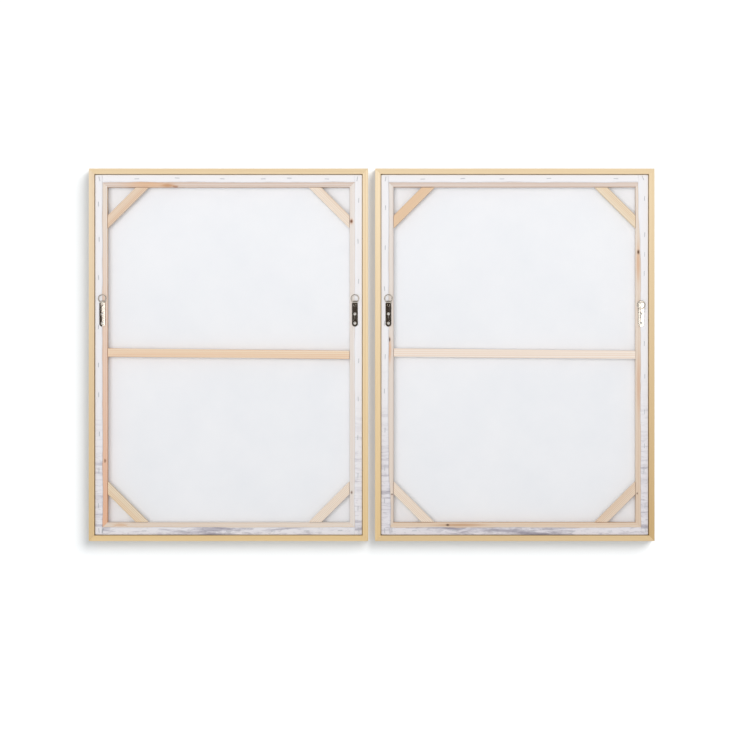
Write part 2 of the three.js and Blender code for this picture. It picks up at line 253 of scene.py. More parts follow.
def wood(name, look, board):
    # Sawn and planed softwood: growth rings cut lengthwise show as long pale and orange bands.
    material, tree, shader = newMaterial(
        name,
        {"Roughness": look["roughness"], "IOR": 1.5, "Coat Weight": look.get("lacquer", 0.0),
         "Coat Roughness": 0.25},
    )
    knots = look.get("knots", [])
    place = addNode(tree, "ShaderNodeTexCoord")
    shift = (  # each board is cut from another place in the log
        draws.uniform(-900, 900), look.get("pithDepth", grain["pithDepth"]) + draws.uniform(-8, 8),
        draws.uniform(-60, 60),
    )
    turn = math.radians(grain["turns"][look["grain"]])
    log = addNode(
        tree, "ShaderNodeMapping", {"Location": shift, "Rotation": (0, turn, 0), "Scale": (1000, 1000, 1000)},
        {"Vector": place.outputs["Object"]},
    )
    drawn = addNode(
        tree, "ShaderNodeVectorMath", {"operation": "MULTIPLY", 1: grain["drawn"]}, {0: log.outputs[0]}
    )
    spots = []
    for knot in knots:
        there = addNode(
            tree, "ShaderNodeMapping",
            {"vector_type": "TEXTURE", "Location": (knot["x"] * mm, 0, knot["z"] * mm),
             "Scale": (knot["wide"] * mm, 1.0, knot["tall"] * mm)},
            {"Vector": place.outputs["Object"]},
        )
        away = addNode(tree, "ShaderNodeVectorMath", {"operation": "LENGTH"}, {0: there.outputs[0]})
        spot = addNode(
            tree, "ShaderNodeMapRange",
            {"interpolation_type": "SMOOTHERSTEP", "From Min": 1.0, "From Max": 0.0},
            {"Value": away.outputs["Value"]},
        )
        spots.append(spot.outputs[0])
    rings = addNode(
        tree, "ShaderNodeTexWave",
        {"wave_type": "RINGS", "rings_direction": "X", "Scale": waveScale / look["ringSpacing"],
         "Distortion": 2.4, "Detail": 2.0, "Detail Scale": 0.8},
        {"Vector": drawn.outputs[0]},
    )
    for spot in spots:  # the rings run round a knot
        bend = addNode(tree, "ShaderNodeMath", {"operation": "MULTIPLY", 1: grain["roundKnots"]}, {0: spot})
        tree.links.new(bend.outputs[0], rings.inputs["Phase Offset"])
    bands = addNode(tree, "ShaderNodeValToRGB", {}, {"Fac": rings.outputs["Fac"]})
    bands.color_ramp.elements.new(0.5)
    for stop, (position, level) in zip(bands.color_ramp.elements, [(0.35, 0), (0.75, 0.35), (0.97, 1)]):
        stop.position = position
        stop.color = (level, level, level, 1)
    fibreVector = addNode(
        tree, "ShaderNodeVectorMath", {"operation": "MULTIPLY", 1: grain["fibre"]}, {0: drawn.outputs[0]}
    )
    fibres = addNode(
        tree, "ShaderNodeTexNoise", {"Scale": grain["fibreScale"], "Detail": 4.0, "Roughness": 0.6},
        {"Vector": fibreVector.outputs[0]},
    )
    mottle = addNode(
        tree, "ShaderNodeTexNoise", {"Scale": grain["mottleScale"], "Detail": 2.0},
        {"Vector": drawn.outputs[0]},
    )
    mottled = addNode(
        tree, "ShaderNodeMapRange", {"From Min": 0.3, "From Max": 0.7, "To Max": look["mottle"]},
        {"Value": mottle.outputs["Fac"]},
    )
    darkness = addNode(
        tree, "ShaderNodeMath", {"operation": "MULTIPLY_ADD", 1: look["bandStrength"], "use_clamp": True},
        {0: bands.outputs[0], 2: mottled.outputs[0]},
    )
    pale, dark = [linear(tone) for tone in board]
    colour = addNode(
        tree, "ShaderNodeMix", {"data_type": "RGBA", 6: pale, 7: dark}, {0: darkness.outputs[0]}
    ).outputs[2]
    streaks = addNode(
        tree, "ShaderNodeMapRange",
        {"From Min": 0.3, "From Max": 0.75, "To Min": 0.0, "To Max": grain["streak"]},
        {"Value": fibres.outputs["Fac"]},
    )
    colour = addNode(
        tree, "ShaderNodeMix", {"data_type": "RGBA", "blend_type": "MULTIPLY", 7: linear(look["streak"])},
        {0: streaks.outputs[0], 6: colour},
    ).outputs[2]
    height = addNode(tree, "ShaderNodeSeparateXYZ", {}, {0: place.outputs["Object"]})
    share = addNode(
        tree, "ShaderNodeMapRange", {"From Min": grain["footShadeFrom"], "From Max": grain["footShadeTo"]},
        {"Value": height.outputs["Z"]},
    )
    foot = linear(look.get("foot", "#ffffff"))
    colour = addNode(  # painted shade: the tone deepens towards the foot of the panel, where the light falls off
        tree, "ShaderNodeMix", {"data_type": "RGBA", "blend_type": "MULTIPLY", 7: foot},
        {0: share.outputs[0], 6: colour},
    ).outputs[2]
    # knots and resin, and the painted shadows where a brace end meets a bar
    for spot, knot in zip(spots, knots):
        amount = addNode(tree, "ShaderNodeMath", {"operation": "MULTIPLY", 1: knot["strength"]}, {0: spot})
        colour = addNode(
            tree, "ShaderNodeMix", {"data_type": "RGBA", 7: linear(knot["colour"])},
            {0: amount.outputs[0], 6: colour},
        ).outputs[2]
    tree.links.new(colour, shader.inputs["Base Color"])
    relief = {"Strength": 0.5, "Distance": grain["reliefDepth"]}
    bump = addNode(tree, "ShaderNodeBump", relief, {"Height": fibres.outputs["Fac"]})
    tree.links.new(bump.outputs[0], shader.inputs["Normal"])
    return material


# Ash-coloured moulding, stained pale gold and sealed satin: fine grain under a soft sheen.
mouldingLooks = {
    "streak": "#c79f62", "roughness": 0.42, "lacquer": 0.12, "ringSpacing": 2.2, "bandStrength": 0.45,
    # foot: painted shade, the rails darken towards the bottom of the panel
    "mottle": 0.35, "pithDepth": 60, "foot": "#f2e7cb",
}
mouldingBoards = {  # earlywood and latewood
    "honey": ("#efdab5", "#dfc393"),
    "straw": ("#f2dfc3", "#dec499"),
    "cream": ("#fbe8c7", "#e7cb9d"),
}
# Planed pine, unfinished: dry, matt and peach to cream, with orange latewood.
pineLooks = {
    "streak": "#c98f5c", "roughness": 0.72, "ringSpacing": 3.4, "bandStrength": 0.6, "mottle": 0.35,
}
pineBoards = {  # earlywood and latewood
    "grey": ("#e5e0dd", "#d4b398"),
    "white": ("#f1f0ef", "#e3d6ca"),
    "cream": ("#f2eee8", "#dec3a8"),
    "blond": ("#f5ede2", "#e5c9aa"),
    "butter": ("#f1e8d3", "#e0bc90"),
    "peach": ("#ecdfce", "#dbb48e"),
    "amber": ("#ebd3b6", "#deb387"),
    "striped": ("#f5e5ce", "#e2af81"),
    "pale": ("#fbf4ec", "#edd7c2"),
}


# Threads are about 0.5 mm apart; drawn 1.2 mm apart, so that they show.
threadSpacing = 1.2


def weaveBump(tree, shader, flat, depth):
    threads = addNode(tree, "ShaderNodeVectorMath", {"operation": "SCALE", "Scale": 1000}, {0: flat})
    weave = {"Scale": waveScale / threadSpacing, "Distortion": 0.6, "Detail Scale": 0.4}
    weft, warp = [
        addNode(tree, "ShaderNodeTexWave", {"bands_direction": way, **weave}, {"Vector": threads.outputs[0]})
        for way in ("X", "Y")
    ]
    woven = addNode(
        tree, "ShaderNodeMath", {"operation": "MULTIPLY"}, {0: weft.outputs["Fac"], 1: warp.outputs["Fac"]}
    )
    bump = addNode(
        tree, "ShaderNodeBump", {"Strength": 0.35, "Distance": depth}, {"Height": woven.outputs[0]}
    )
    tree.links.new(bump.outputs[0], shader.inputs["Normal"])


# Where the wash starts and is full and where the paint lies thickest, in metres on the flat cloth.
paintings = {
    "left": {
        "seed": 3.1, "ink": "#a39dab", "deep": "#8d8894", "wash": "#ebe9ed", "start": -0.02, "full": -0.36,
        "heavy": 0.0, "heavyWide": 0.14,
    },
    "right": {
        "seed": 8.7, "ink": "#9a94a1", "deep": "#85808c", "wash": "#e8e5ea", "start": 0.02, "full": -0.34,
        "heavy": -0.02, "heavyWide": 0.24,
    },
}
primer = "#f0eff2"
wander = 0.16
heavyHeight, heavyPaint = -0.42, 0.065
# Strokes a metre along and across, where their paint starts and is full, how strong it is and its ink.
strokes = [
    (13, 105, 0.52, 0.68, 0.85, "ink"), (62, 170, 0.53, 0.72, 0.45, "deep"), (5, 45, 0.52, 0.75, 0.5, "ink"),
]


def paintedCanvas(name, look):
    # Primed cotton brushed with thin acrylic: white above, loose level strokes of grey and lilac below.
    material, tree, shader = newMaterial(name, {"Roughness": 0.82, "IOR": 1.45, "Sheen Weight": 0.05})
    flat = addNode(tree, "ShaderNodeUVMap", {"uv_map": "flat"}).outputs[0]
    place = addNode(tree, "ShaderNodeSeparateXYZ", {}, {0: flat})
    uneven = addNode(
        tree, "ShaderNodeTexNoise",
        {"Scale": 6.0, "Detail": 2.0, "noise_dimensions": "4D", "W": look["seed"]}, {"Vector": flat},
    )
    level = addNode(
        tree, "ShaderNodeMath", {"operation": "MULTIPLY_ADD", 1: wander},
        {0: uneven.outputs["Fac"], 2: place.outputs["Y"]},
    )
    depth = addNode(
        tree, "ShaderNodeMapRange",
        {"From Min": look["start"] + wander / 2, "From Max": look["full"] + wander / 2,
         "interpolation_type": "SMOOTHSTEP"},
        {"Value": level.outputs[0]},
    )
    away = addNode(
        tree, "ShaderNodeVectorMath", {"operation": "DISTANCE", 1: (look["heavy"], heavyHeight, 0)}, {0: flat}
    )
    heavy = addNode(  # the paint lies thicker here
        tree, "ShaderNodeMapRange",
        {"interpolation_type": "SMOOTHSTEP", "From Min": look["heavyWide"], "From Max": 0.0,
         "To Max": heavyPaint},
        {"Value": away.outputs["Value"]},
    )
    colour = addNode(
        tree, "ShaderNodeMix", {"data_type": "RGBA", 6: linear(primer), 7: linear(look["wash"])},
        {0: depth.outputs[0]},
    ).outputs[2]
    for number, (along, across, low, high, weight, ink) in enumerate(strokes):
        stretched = addNode(
            tree, "ShaderNodeVectorMath", {"operation": "MULTIPLY", 1: (along, across, 1)}, {0: flat}
        )
        brushed = addNode(
            tree, "ShaderNodeTexNoise",
            {"Scale": 1.0, "Detail": 5.0, "Roughness": 0.62, "Distortion": 0.5, "noise_dimensions": "4D",
             "W": look["seed"] + 2.3 * number},
            {"Vector": stretched.outputs[0]},
        )
        loaded = addNode(
            tree, "ShaderNodeMath", {"operation": "ADD"}, {0: brushed.outputs["Fac"], 1: heavy.outputs[0]}
        )
        cover = addNode(
            tree, "ShaderNodeMapRange", {"From Min": low, "From Max": high, "To Max": weight},
            {"Value": loaded.outputs[0]},
        )
        painted = addNode(
            tree, "ShaderNodeMath", {"operation": "MULTIPLY"}, {0: cover.outputs[0], 1: depth.outputs[0]}
        )
        colour = addNode(
            tree, "ShaderNodeMix", {"data_type": "RGBA", 7: linear(look[ink])},
            {0: painted.outputs[0], 6: colour},
        ).outputs[2]
    weaveBump(tree, shader, flat, 0.15 * mm)
    tree.links.new(colour, shader.inputs["Base Color"])
    return material


def rawCanvas(name):
    # Bleached cotton from behind: unprimed, matt, a little uneven where the primer has soaked through.
    material, tree, shader = newMaterial(name, {"Roughness": 0.95, "IOR": 1.45, "Sheen Weight": 0.1})
    flat = addNode(tree, "ShaderNodeUVMap", {"uv_map": "flat"}).outputs[0]
    soaked = addNode(
        tree, "ShaderNodeTexNoise", {"Scale": 7.0, "Detail": 4.0, "Roughness": 0.6}, {"Vector": flat}
    )
    share = addNode(
        tree, "ShaderNodeMapRange", {"From Min": 0.3, "From Max": 0.7}, {"Value": soaked.outputs["Fac"]}
    )
    colour = addNode(
        tree, "ShaderNodeMix", {"data_type": "RGBA", 6: linear("#f3f4f7"), 7: linear("#eef0f4")},
        {0: share.outputs[0]},
    )
    weaveBump(tree, shader, flat, 0.2 * mm)
    tree.links.new(colour.outputs[2], shader.inputs["Base Color"])
    return material


def metal(name, look):
    # Stamped and plated steel: a bright skin with fine handling marks in it.
    material, tree, shader = newMaterial(
        name, {"Metallic": 1.0, "Roughness": look["roughness"], "Base Color": linear(look["colour"])}
    )
    place = addNode(tree, "ShaderNodeTexCoord")
    marks = addNode(
        tree, "ShaderNodeTexNoise", {"Scale": 1400.0, "Detail": 3.0, "Roughness": 0.55},
        {"Vector": place.outputs["Object"]},
    )
    rubbed = addNode(
        tree, "ShaderNodeMapRange",
        {"From Min": 0.3, "From Max": 0.7, "To Min": look["roughness"] * 0.8,
         "To Max": look["roughness"] * 1.35},
        {"Value": marks.outputs["Fac"]},
    )
    tree.links.new(rubbed.outputs[0], shader.inputs["Roughness"])
    tint = addNode(
        tree, "ShaderNodeMix", {"data_type": "RGBA", 6: linear(look["colour"]), 7: linear(look["worn"])},
        {0: marks.outputs["Fac"]},
    )
    tree.links.new(tint.outputs[2], shader.inputs["Base Color"])
    relief = {"Strength": 0.2, "Distance": 0.04 * mm}
    bump = addNode(tree, "ShaderNodeBump", relief, {"Height": marks.outputs["Fac"]})
    tree.links.new(bump.outputs[0], shader.inputs["Normal"])
    return material


nickelPlate = metal("nickelPlatedSteel", {"colour": "#cfc9c0", "worn": "#bdb6ac", "roughness": 0.1})
zincPlate = metal("zincPlatedSteel", {"colour": "#eceae6", "worn": "#d8d6d2", "roughness": 0.42})
stapleWire = metal("galvanisedStapleWire", {"colour": "#cbced3", "worn": "#b6babf", "roughness": 0.45})
hardSteel = metal("bareNailSteel", {"colour": "#a5a5a6", "worn": "#8a8a8b", "roughness": 0.45})
print("materials made")


def pieceFrom(name, bm, materials, body, nodes=(), sharp=35, crisp=True):
    mesh = bpy.data.meshes.new(name)
    bm.to_mesh(mesh)
    bm.free()
    for material in materials:
        mesh.materials.append(material)
    mesh.shade_smooth()
    mesh.set_sharp_from_angle(angle=math.radians(sharp))
    piece = bpy.data.objects.new(name, mesh)
    bpy.context.scene.collection.objects.link(piece)
    if crisp:  # flat faces stay flat between their eased edges
        piece.modifiers.new("faceNormals", "WEIGHTED_NORMAL").keep_sharp = True
    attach(piece, body)
    if nodes:
        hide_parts(*nodes)
    return piece


def bevelEdges(bm, edges, radius, segments=3):
    bmesh.ops.bevel(
        bm, geom=edges, offset=radius, segments=segments, profile=0.5, affect="EDGES", material=-1,
        clamp_overlap=True,
    )


def drawOut(bm, faces, reach):
    drawn = bmesh.ops.extrude_face_region(bm, geom=faces)["geom"]
    bmesh.ops.translate(bm, verts=[v for v in drawn if isinstance(v, bmesh.types.BMVert)], vec=reach)


def longEdges(bm, length):
    return [e for e in bm.edges if abs(e.verts[0].co.x - e.verts[1].co.x) > length / 2]


barCuts = {"spare": 5 * mm, "every": 40 * mm, "mitreGap": 0.06 * mm}


def mitredBar(plan, length, seed):
    # A section in (y, z) drawn along x, eased along its edges, a little off straight, with mitred ends.
    bm = bmesh.new()
    start = -length / 2 - barCuts["spare"]
    face = bm.faces.new([bm.verts.new((start, y * mm, z * mm)) for y, z in plan["section"]])
    drawOut(bm, [face], (length + 2 * barCuts["spare"], 0, 0))
    bmesh.ops.recalc_face_normals(bm, faces=bm.faces)
    bevelEdges(bm, longEdges(bm, length), plan["edge"])
    cuts = max(2, round(length / barCuts["every"]))
    for i in range(1, cuts):
        cutAcross(bm, ((i / cuts - 0.5) * length, 0, 0), (1, 0, 0))
    for v in bm.verts:  # it bows and wanders by a fraction of a millimetre
        bow = noise.noise(Vector((v.co.x * 4, seed, 0.5)))
        v.co.y += plan["wander"] * 0.6 * bow
        v.co.z += plan["wander"] * noise.noise(Vector((v.co.x * 5, seed, 7.5)))
    for end in (-1, 1):
        cutAcross(bm, (end * (length / 2 - barCuts["mitreGap"]), 0, 0), (end, 0, -1), True)
        bmesh.ops.holes_fill(bm, edges=[e for e in bm.edges if e.is_boundary])
    bmesh.ops.recalc_face_normals(bm, faces=bm.faces)
    return bm


def sideMatrix(panel, side, plan):
    width, height = plan["size"]
    turn = {"top": 0, "right": 90, "bottom": 180, "left": -90}[side]
    reach = height / 2 if side in ("top", "bottom") else width / 2
    angle = math.radians(turn)
    across, up = math.sin(angle) * reach, math.cos(angle) * reach
    place = Vector((panelMiddles[panel] + across, 0, panelHeightMiddle + up))
    return Matrix.Translation(place) @ Matrix.Rotation(angle, 4, "Y")


sideNames = ("top", "right", "bottom", "left")
cornerNames = ("top_left", "top_right", "bottom_right", "bottom_left")


moulding = {
    "size": (600 * mm, 800 * mm), "edge": 0.7 * mm, "wander": 0.12 * mm, "seeds": {"left": 2, "right": 9},
    "section": [(0, 0), (0, -12), (26, -12), (26, -18), (30, -18), (30, 0)],
}
railBoards = {
    "left": {"top": "honey", "right": "cream", "bottom": "cream", "left": "straw"},
    "right": {"top": "honey", "right": "honey", "bottom": "straw", "left": "cream"},
}
railFootShades = {("right", "right"): "#dfcfab"}  # painted shade: this rail darkens more towards its foot
for panel in panelMiddles:
    for number, side in enumerate(sideNames):
        upright = side in ("left", "right")
        bm = mitredBar(moulding, moulding["size"][1 if upright else 0], moulding["seeds"][panel] + number)
        bmesh.ops.transform(bm, matrix=sideMatrix(panel, side, moulding), verts=bm.verts)
        look = {
            **mouldingLooks, "grain": "upright" if upright else "level",
            "foot": railFootShades.get((panel, side), mouldingLooks["foot"]),
        }
        stained = wood(f"stainedMoulding_{panel}_{side}", look, mouldingBoards[railBoards[panel][side]])
        nodes = [f"{panel}_frame_rail_{side}"]
        pieceFrom(f"{panel}Rail_{side}", bm, [stained], f"{panel}_panel", nodes)
print("outer frames: 8 rails")


stretcher = {
    "size": (570 * mm, 770 * mm), "edge": 0.9 * mm, "wander": 0.2 * mm, "seeds": {"left": 17, "right": 31},
    "section": [(6.7, 0), (6.7, -22.2), (7.5, -24.1), (9.4, -24.9), (21.7, -24.9), (24.7, -5), (24.7, 0)],
    "back": 6.7 * mm, "opening": (520 * mm, 720 * mm),
}
barBoards = {
    "left": {"top": "grey", "right": "white", "bottom": "cream", "left": "cream"},
    "right": {"top": "grey", "right": "cream", "bottom": "peach", "left": "white"},
}
barFootShades = {  # painted shade: these bars darken towards their foot
    ("left", "left"): "#fdd0b4", ("right", "left"): "#f8ece0", ("right", "right"): "#f6ebde",
}
barKnotsAndShadows = {  # places, half widths and half heights in mm: knots, the orange wood round them, resin, and painted shadows in the corners where a brace meets a bar
    ("left", "top"): [
        {"x": -480, "z": 238, "wide": 90, "tall": 16, "colour": "#e0aa70", "strength": 0.55},
        {"x": -438, "z": 236, "wide": 24, "tall": 7, "colour": "#b97833", "strength": 0.6},
        {"x": -422, "z": 233, "wide": 11, "tall": 4, "colour": "#9a5a26", "strength": 0.7},
    ],
    ("left", "right"): [
        {"x": -43.5, "z": 159, "wide": 7, "tall": 11, "colour": "#cf9a74", "strength": 0.7},
        {"x": -43.5, "z": 159, "wide": 5, "tall": 6, "colour": "#6e4226", "strength": 1.0},
        # painted shadow in the corner where the brace end meets this bar
        {"x": -43, "z": -424, "wide": 3.6, "tall": 6, "colour": "#6a4a38", "strength": 0.9},
    ],
    ("left", "bottom"): [{"x": -540, "z": -494, "wide": 24, "tall": 7, "colour": "#d3a06e", "strength": 0.5}],
    ("left", "left"): [{"x": -573, "z": -356, "wide": 3.6, "tall": 7, "colour": "#8a5634", "strength": 0.9}],
    ("right", "right"): [
        {"x": 573, "z": 70, "wide": 7, "tall": 70, "colour": "#d6a173", "strength": 0.6},
        {"x": 574, "z": -190, "wide": 8, "tall": 110, "colour": "#d2a07a", "strength": 0.5},
        {"x": 573.5, "z": 93, "wide": 4.4, "tall": 8, "colour": "#4f3019", "strength": 1.0},
        {"x": 571, "z": -426, "wide": 2.6, "tall": 4, "colour": "#6b4632", "strength": 0.9},
    # painted shadow in the corner where the brace end meets this bar
    ],
    ("right", "bottom"): [
        {"x": 190, "z": -494, "wide": 90, "tall": 6, "colour": "#b88353", "strength": 0.6},
        {"x": 163.5, "z": -494, "wide": 6, "tall": 4, "colour": "#4c2e18", "strength": 1.0},
    ],
    ("right", "left"): [
        {"x": 38, "z": -118, "wide": 8, "tall": 45, "colour": "#d9a273", "strength": 0.7},
        {"x": 37.5, "z": -95, "wide": 5.4, "tall": 7.5, "colour": "#402512", "strength": 1.0},
        # painted shadow in the corner where the brace end meets this bar
        {"x": 44, "z": -428, "wide": 4, "tall": 3, "colour": "#6b4632", "strength": 0.9},
    ],
}
for panel in panelMiddles:
    for number, side in enumerate(sideNames):
        upright = side in ("left", "right")
        bm = mitredBar(stretcher, stretcher["size"][1 if upright else 0], stretcher["seeds"][panel] + number)
        bmesh.ops.transform(bm, matrix=sideMatrix(panel, side, stretcher), verts=bm.verts)
        look = {
            **pineLooks, "grain": "upright" if upright else "level", "knots": barKnotsAndShadows.get((panel, side), []),
            "foot": barFootShades.get((panel, side), "#ffffff"),
        }
        planed = wood(f"planedPine_{panel}_{side}", look, pineBoards[barBoards[panel][side]])
        nodes = [f"{panel}_stretcher_{side}"]
        pieceFrom(f"{panel}Bar_{side}", bm, [planed], f"{panel}_panel", nodes)

brace = {
    "near": 60 * mm, "far": 88 * mm, "thick": 12 * mm, "edge": 1.8 * mm, "sideGap": 0.1 * mm,
    "backGap": 0.05 * mm,
}
braceBoards = {
    "left": {"top_left": "peach", "top_right": "blond", "bottom_right": "blond", "bottom_left": "butter"},
    "right": {"top_left": "amber", "top_right": "butter", "bottom_right": "peach", "bottom_left": "blond"},
}
near, far, gap = brace["near"], brace["far"], brace["sideGap"]
openWide, openHigh = stretcher["opening"]
for panel in panelMiddles:
    for number, corner in enumerate(cornerNames):
        bm = bmesh.new()
        back = stretcher["back"] + brace["backGap"]
        outline = [(gap, -near), (gap, -far), (far, -gap), (near, -gap)]
        face = bm.faces.new([bm.verts.new((x, back, z)) for x, z in outline])
        drawOut(bm, [face], (0, brace["thick"], 0))
        bmesh.ops.recalc_face_normals(bm, faces=bm.faces)
        bevelEdges(bm, bm.edges[:], brace["edge"])
        x = panelMiddles[panel] + (openWide / 2 if "right" in corner else -openWide / 2)
        z = panelHeightMiddle + (openHigh / 2 if "top" in corner else -openHigh / 2)
        turned = Matrix.Rotation(math.radians(90 * number), 4, "Y")
        bmesh.ops.transform(bm, matrix=Matrix.Translation((x, 0, z)) @ turned, verts=bm.verts)
        look = {**pineLooks, "grain": "rising" if corner in ("top_left", "bottom_right") else "falling"}
        board = pineBoards[braceBoards[panel][corner]]
        planed = wood(f"planedPine_{panel}_brace_{corner}", look, board)
        nodes = [f"{panel}_brace_{corner}"]
        pieceFrom(f"{panel}Brace_{corner}", bm, [planed], f"{panel}_panel", nodes)

crossbar = {
    "height": 18 * mm, "thick": 14 * mm, "rise": 2.5 * mm, "drop": 5 * mm, "edge": 0.9 * mm,
    "endGap": 0.5 * mm, "tenons": 10 * mm, "wander": 0.25 * mm, "cuts": 13, "seeds": {"left": 3, "right": 5},
    "ringSpacing": 4.2,
}
crossbarBoards = {"left": "striped", "right": "pale"}
for panel in panelMiddles:
    bm = bmesh.new()
    bmesh.ops.create_cube(bm, size=1)
    length = openWide - crossbar["endGap"]
    bmesh.ops.scale(bm, vec=(length, crossbar["thick"], crossbar["height"]), verts=bm.verts)
    bevelEdges(bm, longEdges(bm, length), crossbar["edge"])
    for i in range(1, crossbar["cuts"]):
        cutAcross(bm, ((i / crossbar["cuts"] - 0.5) * openWide, 0, 0), (1, 0, 0))
    for v in bm.verts:
        v.co.z += crossbar["wander"] * noise.noise(Vector((v.co.x * 6, crossbar["seeds"][panel], 0)))
    slope = math.atan(crossbar["drop"] / (openWide + crossbar["tenons"]))
    middle = (
        panelMiddles[panel], stretcher["back"] + crossbar["thick"] / 2, panelHeightMiddle + crossbar["rise"],
    )
    turned = Matrix.Rotation(slope, 4, "Y")
    bmesh.ops.transform(bm, matrix=Matrix.Translation(middle) @ turned, verts=bm.verts)
    look = {**pineLooks, "grain": "level", "ringSpacing": crossbar["ringSpacing"]}
    planed = wood(f"planedPine_{panel}_crossbar", look, pineBoards[crossbarBoards[panel]])
    pieceFrom(f"{panel}Crossbar", bm, [planed], f"{panel}_panel", [f"{panel}_crossbar"])
print("stretchers: 8 bars, 8 braces, 2 crossbars")


# All in mm, like the flat cloth until its shape is done.
cloth = {
    "width": 572, "height": 772, "turn": 20, "fold": 15, "round": 1.1, "thick": 0.5, "front": 25.7,
    "wave": 1.1, "longWave": 42, "shortWave": 11, "lift": 0.5, "puffWave": 30, "relief": 0.12,
    "reliefWave": 90, "overlap": 0.6, "bulge": 1.0, "bulgeFrom": 2, "facet": 7.5, "seam": 0.75, "near": 0.01,
    "seeds": {"left": 3.3, "right": 12.6},
    "lapFrom": 22, "lapOver": 6,  # the side folds lie over the top and bottom ones near their ends
    "tuckFrom": 18, "tuckOver": 10,  # the top and bottom folds lie flat under them
    "pressed": 95, "pressedHalf": 45, "pressedFade": 20,  # the hangers press the folds flat
}
# How much wider than usual each fold is cut, in mm, at heights above the middle of its panel.
foldCuts = {
    ("left", "left"): [(-386, 0), (-300, 1.5), (-240, 0), (386, 0)],
    ("right", "left"): [(-386, 3), (-330, 5), (-250, 0), (386, 0.5)],
    ("right", "right"): [(-386, 0), (60, 0.5), (200, -0.5), (300, 5), (386, 6)],
}


def foldLines(size):
    # The lines that the flat cloth is divided by, close together where it bends.
    half, bend, turn, fold = size / 2, cloth["round"], cloth["turn"], cloth["fold"]
    flat = half - bend
    count = round(size / cloth["facet"])
    middle = [-flat + 2 * flat * i / count for i in range(count + 1)]
    outer = [half - bend * 0.35, half, half + bend * 0.35, half + bend]
    outer += [half + turn * share for share in (0.25, 0.5, 0.75)]
    outer += [half + turn + bend * share for share in (-1, -0.35, 0.35, 1)]
    outer += [half + turn + fold * share for share in (0.28, 0.46, 0.64, 0.82, 1.0)]
    return [-x for x in reversed(outer)] + middle + outer


def along(flat, half):
    # How far across, how deep and how far along its fold a point of the flat cloth comes.
    side = 1 if flat > 0 else -1
    past, bend, turn = abs(flat) - half, cloth["round"], cloth["turn"]
    if past <= -bend:
        return flat, 0.0, 0.0
    if past <= bend:
        angle = (past + bend) / (2 * bend) * math.pi / 2
        return side * (half - bend + bend * math.sin(angle)), bend - bend * math.cos(angle), 0.0
    if past <= turn - bend:
        return side * half, past, 0.0
    if past <= turn + bend:
        angle = (past - turn + bend) / (2 * bend) * math.pi / 2
        return side * (half - bend + bend * math.cos(angle)), turn - bend + bend * math.sin(angle), 0.0
    return side * (half - (past - turn)), turn, (past - turn) / cloth["fold"]


def foldWidth(panel, side, place, seed):
    longWave = noise.noise(Vector((place / cloth["longWave"], seed, 0)))
    shortWave = noise.noise(Vector((place / cloth["shortWave"], seed, 4)))
    wide = cloth["fold"] + cloth["wave"] * (longWave + 0.45 * shortWave)
    cuts = foldCuts.get((panel, side), [])
    for (low, widerLow), (high, widerHigh) in zip(cuts, cuts[1:]):
        if low <= place <= high:
            wide += widerLow + (widerHigh - widerLow) * (place - low) / (high - low)
    return wide


def rise(value, width):
    # 0 up to nothing, 1 from the width on, and even between them.
    return min(1, max(0, value / width))


def turnedPoint(panel, seed, u, w):
    # Where the point (u, w) of the flat cloth lies once it is stretched, turned and folded.
    halfW, halfH = cloth["width"] / 2, cloth["height"] / 2
    x, depthX, foldX = along(u, halfW)
    z, depthZ, foldZ = along(w, halfH)
    depth = max(depthX, depthZ)
    lap = rise(abs(w) - (halfH - cloth["lapFrom"]), cloth["lapOver"]) * cloth["overlap"]
    if foldX > 0:
        side = "left" if u < 0 else "right"
        wide = foldWidth(panel, side, w, seed + (1 if u < 0 else 2))
        x = math.copysign(halfW - foldX * wide + cloth["bulge"] * (1 - foldX), u)
        puff = cloth["lift"] * foldX * (0.5 + 0.5 * noise.noise(Vector((w / cloth["puffWave"], seed, 9))))
        puff *= rise(abs(w - cloth["pressed"]) - cloth["pressedHalf"], cloth["pressedFade"])
        depth += puff + lap
    elif foldZ > 0:
        side = "bottom" if w < 0 else "top"
        wide = foldWidth(panel, side, u, seed + (3 if w < 0 else 4))
        z = math.copysign(halfH - foldZ * wide + cloth["bulge"] * (1 - foldZ), w)
        puff = cloth["lift"] * foldZ * (0.5 + 0.5 * noise.noise(Vector((u / cloth["puffWave"], seed, 5))))
        depth += puff * rise(halfW - cloth["tuckFrom"] - abs(u), cloth["tuckOver"])
    else:
        bulge = cloth["bulge"] * math.sin(math.pi / 2 * min(1, depth / cloth["turn"]))
        if depthX > cloth["bulgeFrom"]:
            x += math.copysign(bulge, u)
        if depthZ > cloth["bulgeFrom"]:
            z += math.copysign(bulge, w)
        halfway = cloth["turn"] / 2
        if depthX > halfway:
            depth += lap * (depthX - halfway) / halfway
    if depth < cloth["near"]:
        across, up = u / cloth["reliefWave"], w / cloth["reliefWave"]
        depth = cloth["relief"] * (1 + noise.noise(Vector((across, up, seed))))
    return x, cloth["front"] - depth, z


